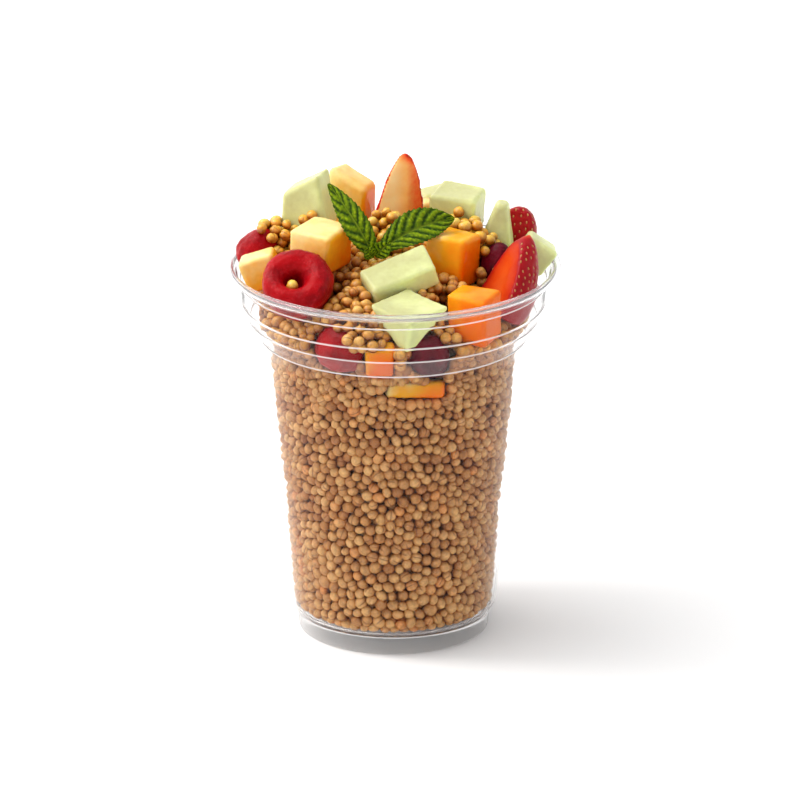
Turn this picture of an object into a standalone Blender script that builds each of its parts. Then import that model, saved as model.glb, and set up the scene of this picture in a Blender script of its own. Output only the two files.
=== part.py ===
"""Fruit cup: a clear stepped cup, filled with plump cooked grains, topped with cut fruit and mint.

Lengths below are in millimetres and angles in degrees. The origin is the middle of the cup's foot,
+Z is up, and the cup's front faces -Y.
"""

import math
import random

import bmesh
import bpy
from mathutils import Euler, Matrix, Vector

MM = 0.001
GAP = 0.3

# Clear cup, turned about +Z.
SIDES = 48
WALL = 0.7
FOOT_RADIUS = 27.8
FOOT_HEIGHT = 5.6
FOOT_WALL = 1.1
FLOOR_UNDERSIDE = 5.2
FLOOR_TOP = 6.6
LOWER_WALL_START = (30.1, 8.0)
LOWER_WALL_END = (36.9, 73.0)
UPPER_WALL_END = (37.6, 86.0)
STACKING_CREASES = [(38.9, 90.0), (42.3, 95.5), (44.2, 100.2), (44.8, 106.6)]
CREASE_ROUND = 0.5
LIP_RADIUS = 49.0
LIP_THICKNESS = 2.4
CUP_HEIGHT = 112.0

FOOT_EDGE = 0.3
FOOT_DRAFT = 0.5
FOOT_LEDGE = (1.3, 0.8)
FLOOR_FILLET = 1.1

# Heap of grains inside the cup: height in the middle and at the side wall, how the height at the
# wall changes towards the back, and local mounds as (x, y, radius, height).
HEAP_SIDES = 24
HEAP_RINGS = 9
HEAP_MIDDLE = 114.0
HEAP_SIDE = 94.0
HEAP_TO_BACK = 5.5
HEAP_ROUND_BACK = 2.5
HEAP_WALL_TOP = 92.0
MOUNDS = [
    (-35, 14, 10, 20), (-33, 3, 6, 13), (-37, -5, 6, 7), (-24, 13, 7, 4), (-12, 26, 9, 6),
    (-2, 8, 9, 14), (15, 34, 9, 9), (19, 17, 9, 7), (20, 8, 7, 12), (26, 4, 6, 8),
    (31, 21, 7, 5), (37, 8, 9, 11), (17, -16, 8, 3), (-14, -24, 10, 5.5), (-10, -37, 8, 8),
]

# The fruit's bed in the heap, and the pieces that lie so near the wall that they show through it.
BED_CLEARANCE = 0.7
BED_TOWARDS_WALL = 3.5
SEEN_THROUGH_WALL = ["berry_front_left", "berry_front_right", "berry_hulled", "cantaloupe_front",
                     "cantaloupe_low", "cantaloupe_front_right", "strawberry_right"]

# Fruit. The hulled berry's outside and hollow are (share of radius, share of depth).
MELON_EDGE = 0.75
MELON_UNEVEN = 0.04
STRAWBERRY_RINGS = 9
STRAWBERRY_SIDES = 16
BERRY_RINGS = 8
BERRY_SIDES = 12
HULLED_OUTSIDE = [(0.0, -1.0), (0.45, -0.9), (0.8, -0.62), (1.0, -0.2), (1.02, 0.0), (0.97, 0.16),
                  (0.84, 0.27)]
HULLED_HOLLOW = [(0.66, 0.3), (0.48, 0.25), (0.35, 0.13), (0.28, -0.04), (0.2, -0.22), (0.0, -0.3)]
HULLED_SIDES = 22
LEAF_STEPS = 8
LEAF_THICKNESS = 0.8
LEAF_FOLD = 0.25

COLOURS = {
    "clear_plastic": (0.90, 0.92, 0.93, 0.25),
    "grain": (0.62, 0.38, 0.17, 1.0),
    "honeydew": (0.70, 0.80, 0.38, 1.0),
    "cantaloupe": (0.95, 0.55, 0.12, 1.0),
    "strawberry": (0.80, 0.12, 0.06, 1.0),
    "dark_berry": (0.32, 0.02, 0.05, 1.0),
    "mint": (0.10, 0.30, 0.04, 1.0),
}
ROUGHNESS = {
    "clear_plastic": 0.05,
    "grain": 0.5,
    "honeydew": 0.35,
    "cantaloupe": 0.35,
    "strawberry": 0.3,
    "dark_berry": 0.4,
    "mint": 0.5,
}


def clear_scene():
    for thing in list(bpy.data.objects):
        bpy.data.objects.remove(thing, do_unlink=True)


def finish_material(name, kind):
    """A plain Principled finish of one kind, made for one object."""
    material = bpy.data.materials.new(name)
    material.use_nodes = True
    shader = material.node_tree.nodes["Principled BSDF"]
    shader.inputs["Base Color"].default_value = COLOURS[kind][:3] + (1.0,)
    shader.inputs["Alpha"].default_value = COLOURS[kind][3]
    shader.inputs["Roughness"].default_value = ROUGHNESS[kind]
    shader.inputs["Metallic"].default_value = 0.0
    return material


def add_object(name, bm, kind, smooth_angle=40.0):
    """Turns a bmesh in millimetres into a named object in metres with its own finish."""
    bmesh.ops.recalc_face_normals(bm, faces=bm.faces[:])
    bmesh.ops.scale(bm, vec=(MM, MM, MM), verts=bm.verts[:])
    mesh = bpy.data.meshes.new(name)
    bm.to_mesh(mesh)
    bm.free()
    mesh.shade_smooth()
    mesh.set_sharp_from_angle(angle=math.radians(smooth_angle))
    body = bpy.data.objects.new(name, mesh)
    body.data.materials.append(finish_material(name, kind))
    bpy.context.scene.collection.objects.link(body)
    return body


def turned_bmesh(outline, sides, height_of=None):
    """Turns an outline of (radius, height) about +Z; an end at radius 0 becomes one vertex."""
    bm = bmesh.new()
    rings = []
    for radius, height in outline:
        if radius == 0.0:
            lift = height_of(0.0, 0.0, height) if height_of else height
            rings.append([bm.verts.new((0.0, 0.0, lift))])
            continue
        ring = []
        for step in range(sides):
            angle = 2.0 * math.pi * step / sides
            x = radius * math.cos(angle)
            y = radius * math.sin(angle)
            lift = height_of(x, y, height) if height_of else height
            ring.append(bm.verts.new((x, y, lift)))
        rings.append(ring)
    for lower, upper in zip(rings, rings[1:]):
        join_rings(bm, lower, upper)
    return bm


def join_rings(bm, lower, upper):
    """Skins the band between two rings, either of which may be a single vertex."""
    count = max(len(lower), len(upper))
    for step in range(count):
        following = (step + 1) % count
        corners = []
        for ring, steps in ((lower, (step, following)), (upper, (following, step))):
            if len(ring) == 1:
                corners.append(ring[0])
            else:
                corners.extend(ring[index] for index in steps)
        bm.faces.new(corners)


# ---------------------------------------------------------------- cup

def offset_outline(outline, distance):
    """Moves an outline towards the axis by a distance, mitred at each point."""
    moved = []
    for index, point in enumerate(outline):
        here = Vector(point)
        before = Vector(outline[max(index - 1, 0)])
        after = Vector(outline[min(index + 1, len(outline) - 1)])
        ways = [way.normalized() for way in (here - before, after - here) if way.length > 0]
        along = sum(ways, Vector((0.0, 0.0))).normalized()
        sideways = Vector((-along.y, along.x))
        mitre = distance / max(0.5, abs(along.dot(ways[0])))
        moved.append(tuple(here + sideways * mitre))
    return moved


def rounded_corner(before, corner, after, cut):
    """Two points that round off a corner of an outline."""
    corner = Vector(corner)
    first = corner + (Vector(before) - corner).normalized() * cut
    second = corner + (Vector(after) - corner).normalized() * cut
    return [tuple(first), tuple(second)]


def cup_wall_outline():
    """Outside of the cup from the ledge above the foot to the root of the lip."""
    corners = [LOWER_WALL_START, LOWER_WALL_END, UPPER_WALL_END] + STACKING_CREASES
    corners.append((LIP_RADIUS - LIP_THICKNESS, CUP_HEIGHT - LIP_THICKNESS))
    outline = [corners[0], corners[1]]
    for before, corner, after in zip(corners[1:], corners[2:], corners[3:]):
        outline.extend(rounded_corner(before, corner, after, CREASE_ROUND))
    return outline


def lip_outline():
    """Rolled lip, from its root outside, round its outer edge, to its root inside."""
    radius = LIP_THICKNESS / 2.0
    centre = Vector((LIP_RADIUS - radius, CUP_HEIGHT - radius))
    points = []
    for step in range(-3, 4):
        angle = math.radians(50.0 * step)
        points.append(tuple(centre + radius * Vector((math.cos(angle), math.sin(angle)))))
    return points


def cup():
    """Thin clear cup with a foot ring, a raised floor, stacking steps and a rolled lip."""
    wall = cup_wall_outline()
    inside = offset_outline(wall, WALL)
    foot = [
        (0.0, FLOOR_UNDERSIDE),
        (FOOT_RADIUS - FOOT_WALL - FLOOR_FILLET, FLOOR_UNDERSIDE),
        (FOOT_RADIUS - FOOT_WALL, FLOOR_UNDERSIDE - FLOOR_FILLET),
        (FOOT_RADIUS - FOOT_WALL, FOOT_EDGE),
        (FOOT_RADIUS - FOOT_WALL + FOOT_EDGE, 0.0),
        (FOOT_RADIUS - FOOT_EDGE, 0.0),
        (FOOT_RADIUS, FOOT_EDGE),
        (FOOT_RADIUS + FOOT_DRAFT, FOOT_HEIGHT),
        (FOOT_RADIUS + FOOT_LEDGE[0], FOOT_HEIGHT + FOOT_LEDGE[1]),
    ]
    floor = [(inside[0][0] - FLOOR_FILLET, FLOOR_TOP), (0.0, FLOOR_TOP)]
    outline = foot + wall + lip_outline() + inside[::-1] + floor
    return add_object("cup", turned_bmesh(outline, SIDES), "clear_plastic")


# ---------------------------------------------------------------- grains

def heap_height(x, y):
    """Height of the heap's top, highest in the middle, lowest at the front wall, with mounds."""
    reach = min(1.0, math.hypot(x, y) / STACKING_CREASES[3][0]) ** 2
    back = y / STACKING_CREASES[3][0]
    at_wall = HEAP_SIDE + HEAP_TO_BACK * back + HEAP_ROUND_BACK * back ** 2
    height = HEAP_MIDDLE * (1.0 - reach) + at_wall * reach
    for mound_x, mound_y, radius, rise in MOUNDS:
        away = math.hypot(x - mound_x, y - mound_y) / radius
        height += rise * math.exp(-away ** 2)
    return height


def grain_fill():
    """The grains as one body: it lies against the cup's inside and rises to an uneven dome."""
    inside = offset_outline(cup_wall_outline(), WALL + GAP)
    side = [point for point in inside if point[1] < HEAP_WALL_TOP - 1.0]
    outline = [(0.0, FLOOR_TOP + GAP), (side[0][0] - FLOOR_FILLET, FLOOR_TOP + GAP)] + side
    outer_radius = side[-1][0]
    for step in range(HEAP_RINGS):
        outline.append((outer_radius * (1.0 - step / HEAP_RINGS), None))
    outline.append((0.0, None))

    def lift(x, y, height):
        return heap_height(x, y) if height is None else height

    bm = turned_bmesh(outline, HEAP_SIDES, lift)
    bmesh.ops.triangulate(bm, faces=bm.faces[:])
    return add_object("grain_fill", bm, "grain")


def grown_copy(body, outwards=0.0):
    """A cutter: a piece's evaluated shape, grown on all sides and moved away from the cup's axis."""
    evaluated = body.evaluated_get(bpy.context.evaluated_depsgraph_get())
    bm = bmesh.new()
    bm.from_mesh(evaluated.to_mesh())
    middle = sum((vertex.co for vertex in bm.verts), Vector()) / len(bm.verts)
    away = Vector((middle.x, middle.y, 0.0)).normalized() * outwards
    normals = [vertex.normal.copy() for vertex in bm.verts]
    for vertex, normal in zip(bm.verts, normals):
        vertex.co += (normal * BED_CLEARANCE + away) * MM
    bmesh.ops.triangulate(bm, faces=bm.faces[:])
    mesh = bpy.data.meshes.new("cutter_" + body.name)
    bm.to_mesh(mesh)
    bm.free()
    cutter = bpy.data.objects.new("cutter_" + body.name, mesh)
    cutter.hide_render = True
    cutter.display_type = "WIRE"
    bpy.context.scene.collection.objects.link(cutter)
    return cutter


def bed_into(heap, pieces):
    """Cuts the heap round the pieces that lie in it, and keeps its main body."""
    bpy.context.view_layer.update()
    cutters = []
    for piece in pieces:
        cutters.append(grown_copy(piece))
        if piece.name in SEEN_THROUGH_WALL:
            cutters.append(grown_copy(piece, BED_TOWARDS_WALL))
    for cutter in cutters:
        cut = heap.modifiers.new(cutter.name, "BOOLEAN")
        cut.operation = "DIFFERENCE"
        cut.solver = "EXACT"
        cut.object = cutter
    bpy.context.view_layer.update()
    evaluated = heap.evaluated_get(bpy.context.evaluated_depsgraph_get())
    bm = bmesh.new()
    bm.from_mesh(evaluated.to_mesh())
    heap.modifiers.clear()
    keep_largest_body(bm)
    bm.to_mesh(heap.data)
    bm.free()


def keep_largest_body(bm):
    """Deletes every separate body of a mesh but the one with the most faces."""
    left = set(bm.faces)
    bodies = []
    while left:
        seed = min(left, key=lambda face: face.index)
        found = {seed}
        queue = [seed]
        while queue:
            for edge in queue.pop().edges:
                for face in edge.link_faces:
                    if face not in found:
                        found.add(face)
                        queue.append(face)
        bodies.append(found)
        left -= found
    bodies.sort(key=len)
    for crumbs in bodies[:-1]:
        bmesh.ops.delete(bm, geom=list(crumbs), context="FACES")


# ---------------------------------------------------------------- melon

def melon(name, kind, at, size, turn, top=(1.0, 1.0), lean=(0.0, 0.0), rise=(0.0, 0.0), seed=0):
    """A hand-cut melon piece: an uneven block with softened edges.

    top scales the upper face, lean moves it sideways, and rise lifts its right and back sides.
    """
    draw = random.Random(seed)
    bm = bmesh.new()
    bmesh.ops.create_cube(bm, size=1.0)
    for vertex in bm.verts:
        side_x, side_y, side_z = (math.copysign(0.5, value) for value in vertex.co)
        place = Vector((size[0] * side_x, size[1] * side_y, size[2] * side_z))
        if side_z > 0:
            place.x = place.x * top[0] + lean[0]
            place.y = place.y * top[1] + lean[1]
            place.z += 2.0 * (rise[0] * side_x + rise[1] * side_y)
        for axis in range(3):
            place[axis] += draw.uniform(-MELON_UNEVEN, MELON_UNEVEN) * size[axis]
        vertex.co = place
    bmesh.ops.bevel(bm, geom=bm.edges[:] + bm.verts[:], offset=MELON_EDGE, segments=1,
                    profile=0.5, affect="EDGES")
    place_bmesh(bm, at, turn)
    return add_object(name, bm, kind)


def place_bmesh(bm, at, turn):
    """Turns a piece about X, Y and Z and moves it to its place."""
    rotation = Euler([math.radians(angle) for angle in turn], "XYZ").to_matrix().to_4x4()
    bmesh.ops.transform(bm, matrix=Matrix.Translation(at) @ rotation, verts=bm.verts[:])


# ---------------------------------------------------------------- strawberry

def strawberry(name, crown, tip, radius, cuts, blunt=0.85, belly=0.9):
    """A hulled strawberry with flat knife cuts, each given as (direction removed, offset).

    blunt rounds the tip when it is small, and belly moves the widest part away from the crown.
    """
    axis = Vector(tip) - Vector(crown)
    length = axis.length
    outline = [(0.0, 0.0)]
    for step in range(STRAWBERRY_RINGS):
        along = 1.0 - (1.0 - step / STRAWBERRY_RINGS) ** 1.3
        shoulder = 0.78 + 0.22 * min(1.0, along / 0.2)
        across = shoulder * (1.0 - along) ** blunt * (1.0 + belly * along) ** 0.8
        outline.append((radius * across, length * along))
    outline.append((0.0, length))
    bm = turned_bmesh(outline, STRAWBERRY_SIDES)
    upright = axis.to_track_quat("Z", "Y").to_matrix().to_4x4()
    bmesh.ops.transform(bm, matrix=Matrix.Translation(crown) @ upright, verts=bm.verts[:])
    for direction, offset in cuts:
        slice_off(bm, Vector(crown), axis.normalized(), Vector(direction), offset)
    return add_object(name, bm, "strawberry", 35.0)


def slice_off(bm, start, axis, direction, offset):
    """Removes what lies beyond a plane along an axis, and closes the cut."""
    normal = (direction - axis * direction.dot(axis)).normalized()
    cut = bmesh.ops.bisect_plane(bm, geom=bm.verts[:] + bm.edges[:] + bm.faces[:], dist=0.0001,
                                 plane_co=start + normal * offset, plane_no=normal, clear_outer=True)
    edges = [item for item in cut["geom_cut"] if isinstance(item, bmesh.types.BMEdge)]
    bmesh.ops.contextual_create(bm, geom=edges)
    bmesh.ops.triangulate(bm, faces=[face for face in bm.faces if len(face.verts) > 4])


# ---------------------------------------------------------------- berries

def berry(name, at, radii, turn):
    """A soft dark berry, rounder at one end than at the other."""
    outline = [(0.0, -1.0)]
    for step in range(1, BERRY_RINGS):
        angle = math.pi * step / BERRY_RINGS
        outline.append((math.sin(angle) * (1.0 + 0.12 * math.cos(angle)), -math.cos(angle)))
    outline.append((0.0, 1.0))
    bm = turned_bmesh(outline, BERRY_SIDES)
    bmesh.ops.scale(bm, vec=radii, verts=bm.verts[:])
    place_bmesh(bm, at, turn)
    return add_object(name, bm, "dark_berry", 180.0)


def hollow_berry(name, at, radius, depth, turn, mouth_shift):
    """A hulled berry whose open end faces up: a thick round wall about a deep, off-centre hollow."""
    outline = [(radius * r, depth * z) for r, z in HULLED_OUTSIDE + HULLED_HOLLOW]
    mouth_radius = radius * HULLED_OUTSIDE[-1][0]
    hollow_floor = depth * HULLED_HOLLOW[-1][1]
    bm = turned_bmesh(outline, HULLED_SIDES)
    for vertex in bm.verts:
        inward = 1.0 - min(1.0, vertex.co.xy.length / mouth_radius)
        if vertex.co.z > hollow_floor - GAP:
            vertex.co.x += mouth_shift[0] * inward
            vertex.co.y += mouth_shift[1] * inward
    place_bmesh(bm, at, turn)
    return add_object(name, bm, "dark_berry", 180.0)


# ---------------------------------------------------------------- mint

def mint_leaf(name, base, tip, arch, width, face, widest):
    """One mint leaf as a thin closed body: a pointed blade, folded a little along its midrib.

    The widest part lies towards the base when widest is under 1 and towards the tip over 1.
    """
    base = Vector(base)
    tip = Vector(tip)
    middle = (base + tip) / 2.0 + Vector(arch)
    bm = bmesh.new()
    loops = []
    for step in range(LEAF_STEPS + 1):
        t = step / LEAF_STEPS
        centre = base * (1 - t) ** 2 + middle * 2 * t * (1 - t) + tip * t ** 2
        along = ((middle - base) * (1 - t) + (tip - middle) * t).normalized()
        side = along.cross(Vector(face)).normalized()
        lift = side.cross(along).normalized()
        half = LEAF_THICKNESS
        if 0 < step < LEAF_STEPS:
            half += width / 2.0 * math.sin(math.pi * t ** widest) ** 0.8
        upper = [(-1.0, LEAF_FOLD * half), (0.0, 0.0), (1.0, LEAF_FOLD * half)]
        loop = [centre + side * half * u + lift * (up + LEAF_THICKNESS / 2) for u, up in upper]
        loop += [centre + side * half * u + lift * (up - LEAF_THICKNESS / 2) for u, up in upper[::-1]]
        loops.append([bm.verts.new(point) for point in loop])
    for lower, following in zip(loops, loops[1:]):
        join_rings(bm, lower, following)
    bm.faces.new(loops[0])
    bm.faces.new(loops[-1])
    return add_object(name, bm, "mint", 60.0)


def mint_sprig(name, node, leaves, bud_radius):
    """A sprig: leaves that grow out of one small bud."""
    bm = bmesh.new()
    bmesh.ops.create_icosphere(bm, subdivisions=1, radius=bud_radius)
    bmesh.ops.transform(bm, matrix=Matrix.Translation(node), verts=bm.verts[:])
    sprig = add_object(name, bm, "mint", 60.0)
    for index, leaf in enumerate(leaves):
        blade = mint_leaf("leaf_guide_%d" % index, **leaf)
        blade.hide_render = True
        blade.display_type = "WIRE"
        joint = sprig.modifiers.new("leaf_%d" % index, "BOOLEAN")
        joint.operation = "UNION"
        joint.solver = "EXACT"
        joint.object = blade
    return sprig


# ---------------------------------------------------------------- the toppings, back to front

def toppings():
    """Every piece of fruit where it lies, and the mint on top."""
    honeydew = "honeydew"
    cantaloupe = "cantaloupe"
    return [
        strawberry("strawberry_back", (1.9, 17.5, 113.5), (3.6, 18.5, 139.4), 9.2,
                   [((-0.09, -1.0, 0.0), 0.0), ((0.66, -0.75, 0.0), 1.5)], blunt=0.6, belly=0.15),
        melon("cantaloupe_back", cantaloupe, (-12.4, 26.0, 121.4), (14, 11, 17), (0, 6, -27),
              top=(0.8, 0.9), rise=(-2.0, 0.0), seed=2),
        melon("honeydew_back_left", honeydew, (-25.0, 14, 125.2), (14, 11, 14), (0, -4, -20),
              top=(0.85, 0.9), rise=(2.6, 0.0), seed=3),
        melon("cantaloupe_left", cantaloupe, (-21.0, -3.6, 118), (13, 13, 12), (4, 4, -33), seed=4),
        berry("berry_left", (-39.4, 5.4, 113.6), (6.2, 6.0, 6.8), (0, 30, 0)),
        melon("cantaloupe_front_left", cantaloupe, (-38.3, -6.4, 111.5), (10.5, 8, 10), (0, -20, -4),
              seed=6),
        hollow_berry("berry_hulled", (-27.7, -21.4, 113.2), 10.2, 13.5, (36, -4, 0), (-1.5, -0.8)),
        melon("honeydew_centre", honeydew, (1.5, -16.2, 112.6), (21, 10.6, 8.4), (22, -16, 20), seed=9),
        melon("honeydew_front", honeydew, (4.2, -31.6, 103.9), (16.8, 16.8, 11.5), (188, -4, 47),
              top=(0.25, 0.25), lean=(-3.2, 3.2), seed=10),
        melon("cantaloupe_right", cantaloupe, (17.2, -1.4, 113.6), (12.8, 11.5, 15.0), (0, 5, -28),
              seed=11),
        melon("honeydew_back_right", honeydew, (18.8, 18, 122.0), (13.5, 12, 12), (5, 3, -20), seed=12),
        melon("honeydew_back", honeydew, (13.9, 35.4, 117.2), (11, 8, 11), (0, -8, 12), seed=13),
        melon("cantaloupe_back_right", cantaloupe, (9.4, 26.6, 117.4), (5, 5, 9), (0, 6, 30),
              seed=22),
        melon("honeydew_right", honeydew, (30.5, 11.0, 118.0), (12, 7.5, 17), (0, 8, -6),
              top=(0.3, 0.7), seed=14),
        strawberry("strawberry_far_right", (32.4, 17.2, 107.8), (38.8, 19.6, 121.9), 7.1,
                   [((-0.5, -0.87, 0.0), 2.2)], blunt=0.5),
        strawberry("strawberry_right", (29.7, -15.2, 100), (39.8, -6.0, 122.6), 9.3,
                   [((-0.85, -0.52, 0.1), 3.2)], blunt=0.72),
        melon("honeydew_far_right", honeydew, (41.2, 4.4, 112.9), (9.5, 8.5, 9), (0, 35, 0), seed=17),
        berry("berry_right", (29.7, 2.2, 111.0), (4.5, 4.4, 6.4), (0, 20, 0)),
        melon("cantaloupe_front_right", cantaloupe, (23.4, -25.0, 104.0), (12.5, 10.5, 14.5),
              (5, 0, -28), seed=19),
        berry("berry_front_right", (10.0, -30.0, 93.4), (6.7, 5.4, 6.6), (0, 25, 12)),
        berry("berry_front_left", (-15.6, -30.4, 95.8), (8.0, 5.5, 7.0), (0, 10, -30)),
        melon("cantaloupe_front", cantaloupe, (-3.9, -35.5, 94.0), (8.4, 4.6, 10.4), (20, 0, 3),
              seed=23),
        melon("cantaloupe_low", cantaloupe, (6.2, -31.2, 83.8), (17, 4.6, 5), (-5, 3, 6), seed=24),
        mint_sprig("mint_sprig", (-5.6, -9.0, 116.8), [
            dict(base=(-5.8, -9.0, 116.9), tip=(-18.9, 1.0, 135.4), arch=(1.5, -4.6, 1.6), width=7.4,
                 face=(-0.3, -1.0, 0.4), widest=0.78),
            dict(base=(-5.3, -9.0, 116.9), tip=(17.6, 2.0, 124.4), arch=(-1.0, -1.6, 4.8), width=10.4,
                 face=(-0.1, -0.8, 0.7), widest=1.2),
            dict(base=(-5.3, -9.3, 116.8), tip=(-1.0, -12.0, 122.2), arch=(0.0, -0.6, 0.0), width=4.5,
                 face=(0.0, -1.0, 0.3), widest=0.9),
            dict(base=(-5.8, -9.4, 116.8), tip=(-8.1, -13.2, 120.6), arch=(0.0, -0.6, 0.0), width=3.6,
                 face=(0.0, -1.0, 0.3), widest=0.9),
        ], 1.9),
    ]


def build():
    clear_scene()
    cup()
    heap = grain_fill()
    bed_into(heap, toppings())


build()
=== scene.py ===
import math

import bmesh
import bpy
import numpy as np
from mathutils import Matrix, Vector, noise
from mathutils.bvhtree import BVHTree
from mathutils.kdtree import KDTree


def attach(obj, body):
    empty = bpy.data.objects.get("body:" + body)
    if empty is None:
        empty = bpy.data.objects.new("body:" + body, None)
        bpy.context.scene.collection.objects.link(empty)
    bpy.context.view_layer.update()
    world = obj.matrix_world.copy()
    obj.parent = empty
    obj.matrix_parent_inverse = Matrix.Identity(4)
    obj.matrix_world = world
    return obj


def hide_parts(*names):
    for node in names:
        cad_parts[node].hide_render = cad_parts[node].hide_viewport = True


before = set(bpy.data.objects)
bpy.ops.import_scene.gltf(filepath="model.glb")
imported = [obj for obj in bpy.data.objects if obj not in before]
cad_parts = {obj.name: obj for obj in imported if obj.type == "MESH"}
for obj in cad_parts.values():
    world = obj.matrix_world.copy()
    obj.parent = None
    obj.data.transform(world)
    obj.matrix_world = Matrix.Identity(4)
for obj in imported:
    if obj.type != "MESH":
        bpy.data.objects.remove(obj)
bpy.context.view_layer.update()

MM = 0.001
scene = bpy.context.scene


# ------------------------------------------------------------------ table, daylight and camera
# The cup stands on a plain white table under a wide, soft light from the upper left, with a
# paler room all round that the clear wall and the wet fruit pick up.

def link_new(name, mesh):
    """Puts a mesh into the scene as an object at the origin."""
    body = bpy.data.objects.new(name, mesh)
    scene.collection.objects.link(body)
    return body


def finish_nodes(name):
    """A new material and its Principled shader."""
    material = bpy.data.materials.new(name)
    material.use_nodes = True
    return material, material.node_tree, material.node_tree.nodes["Principled BSDF"]


TABLE_SIZE = 8.0
TABLE_WHITE = (0.97, 0.97, 0.97, 1.0)
table_mesh = bpy.data.meshes.new("table")
half = TABLE_SIZE / 2
table_mesh.from_pydata([(-half, -half, 0), (half, -half, 0), (half, half, 0), (-half, half, 0)], [],
                       [(0, 1, 2, 3)])
table = link_new("table", table_mesh)
table_finish, _, table_shader = finish_nodes("table_white")
table_shader.inputs["Base Color"].default_value = TABLE_WHITE
table_shader.inputs["Roughness"].default_value = 0.9
table_shader.inputs["Specular IOR Level"].default_value = 0.1
table_mesh.materials.append(table_finish)

ROOM_FRONT = 0.62
ROOM_BACK = 1.0
ROOM_LEFT = 0.6
LEFT_WALL_EDGE = (0.2, -0.9)
WINDOW_FROM = (-0.60, 0.10, 0.79)
WINDOW_EDGE = (0.80, 0.97)
WINDOW_STRENGTH = 1.6
world = bpy.data.worlds.new("room")
scene.world = world
world.use_nodes = True
room = world.node_tree
facing = room.nodes.new("ShaderNodeVectorMath")
facing.operation = "DOT_PRODUCT"
facing.inputs[1].default_value = Vector(WINDOW_FROM).normalized()
direction = room.nodes.new("ShaderNodeTexCoord")
room.links.new(direction.outputs["Generated"], facing.inputs[0])
spread = room.nodes.new("ShaderNodeMapRange")
spread.interpolation_type = "SMOOTHSTEP"
spread.inputs["From Min"].default_value = WINDOW_EDGE[0]
spread.inputs["From Max"].default_value = WINDOW_EDGE[1]
spread.inputs["To Max"].default_value = WINDOW_STRENGTH
room.links.new(facing.outputs["Value"], spread.inputs["Value"])
depth_way = room.nodes.new("ShaderNodeSeparateXYZ")
room.links.new(direction.outputs["Generated"], depth_way.inputs[0])
walls = room.nodes.new("ShaderNodeMapRange")
walls.inputs["From Min"].default_value = -1.0
walls.inputs["To Min"].default_value = ROOM_FRONT
walls.inputs["To Max"].default_value = ROOM_BACK
room.links.new(depth_way.outputs["Y"], walls.inputs["Value"])
left_wall = room.nodes.new("ShaderNodeMapRange")
left_wall.interpolation_type = "SMOOTHSTEP"
left_wall.inputs["From Min"].default_value = LEFT_WALL_EDGE[0]
left_wall.inputs["From Max"].default_value = LEFT_WALL_EDGE[1]
left_wall.inputs["To Max"].default_value = ROOM_LEFT
room.links.new(depth_way.outputs["X"], left_wall.inputs["Value"])
both_walls = room.nodes.new("ShaderNodeMath")
room.links.new(left_wall.outputs["Result"], both_walls.inputs[0])
room.links.new(walls.outputs["Result"], both_walls.inputs[1])
all_light = room.nodes.new("ShaderNodeMath")
room.links.new(spread.outputs["Result"], all_light.inputs[0])
room.links.new(both_walls.outputs[0], all_light.inputs[1])
room.links.new(all_light.outputs[0], room.nodes["Background"].inputs["Strength"])
room.nodes["Background"].inputs["Color"].default_value = (1.0, 1.0, 1.0, 1.0)

LAMP_AT = Vector((-0.80, 0.05, 1.05))
LAMP_SIZE = 0.35
LAMP_POWER = 5.5
LAMP_COLOUR = (1.0, 0.97, 0.93)
LAMP_POINTS_AT = Vector((0, 0, 0.08))
lamp_data = bpy.data.lights.new("window_lamp", "AREA")
lamp_data.size = LAMP_SIZE
lamp_data.energy = LAMP_POWER
lamp_data.color = LAMP_COLOUR
lamp = bpy.data.objects.new("window_lamp", lamp_data)
lamp.location = LAMP_AT
lamp.rotation_euler = (LAMP_POINTS_AT - LAMP_AT).to_track_quat("-Z", "Y").to_euler()
scene.collection.objects.link(lamp)

CAMERA_TILT = math.radians(19.6)
CAMERA_AWAY = 3.0
CAMERA_SENSOR = 36.0
CAMERA_LENS = 461.7
LOOKS_AT = Vector((0.0019, 0.0, 0.06918))
camera_data = bpy.data.cameras.new("camera")
camera_data.sensor_width = CAMERA_SENSOR
camera_data.lens = CAMERA_LENS
camera_data.clip_end = 10.0
camera = bpy.data.objects.new("camera", camera_data)
camera.location = LOOKS_AT + CAMERA_AWAY * Vector((0, -math.cos(CAMERA_TILT), math.sin(CAMERA_TILT)))
camera.rotation_euler = (math.pi / 2 - CAMERA_TILT, 0, 0)
scene.collection.objects.link(camera)
scene.camera = camera
scene.view_settings.view_transform = "Standard"


# ------------------------------------------------------------------ cup
# A clear, thin-walled drinking cup, thermoformed from one sheet: foot ring, raised floor,
# tapered wall, stacking steps below the rim, and a lip rolled outwards into a hollow curl.

CUP_SIDES = 144
WALL = 0.7
CUP_HEIGHT = 112.0
LIP_RADIUS = 49.0
LIP_THICKNESS = 2.4
LIP_FROM = 109.5
FOOT_RADIUS = 27.8
FOOT_UP_TO = 5.6
LEDGE_UP_TO = 8.3
FLOOR_UNDERSIDE = 5.3
FLOOR_TOP = 6.1
LIP_SHEET = 0.45
WALL_CORNERS = [(28.3, 5.6), (30.1, 8.0), (36.9, 73.0), (37.6, 86.0), (38.9, 90.0), (42.3, 95.5),
                (44.2, 100.2), (44.8, 106.6), (46.6, 109.6)]
CORNER_ROUND = 0.9
STEP_HEIGHTS = [90.0, 95.5, 100.2, 106.6]
STEPPED_FROM = 86.0
FINE_SPACING = 0.16
BEAD = 0.22
BEAD_WIDTH = 0.32


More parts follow.
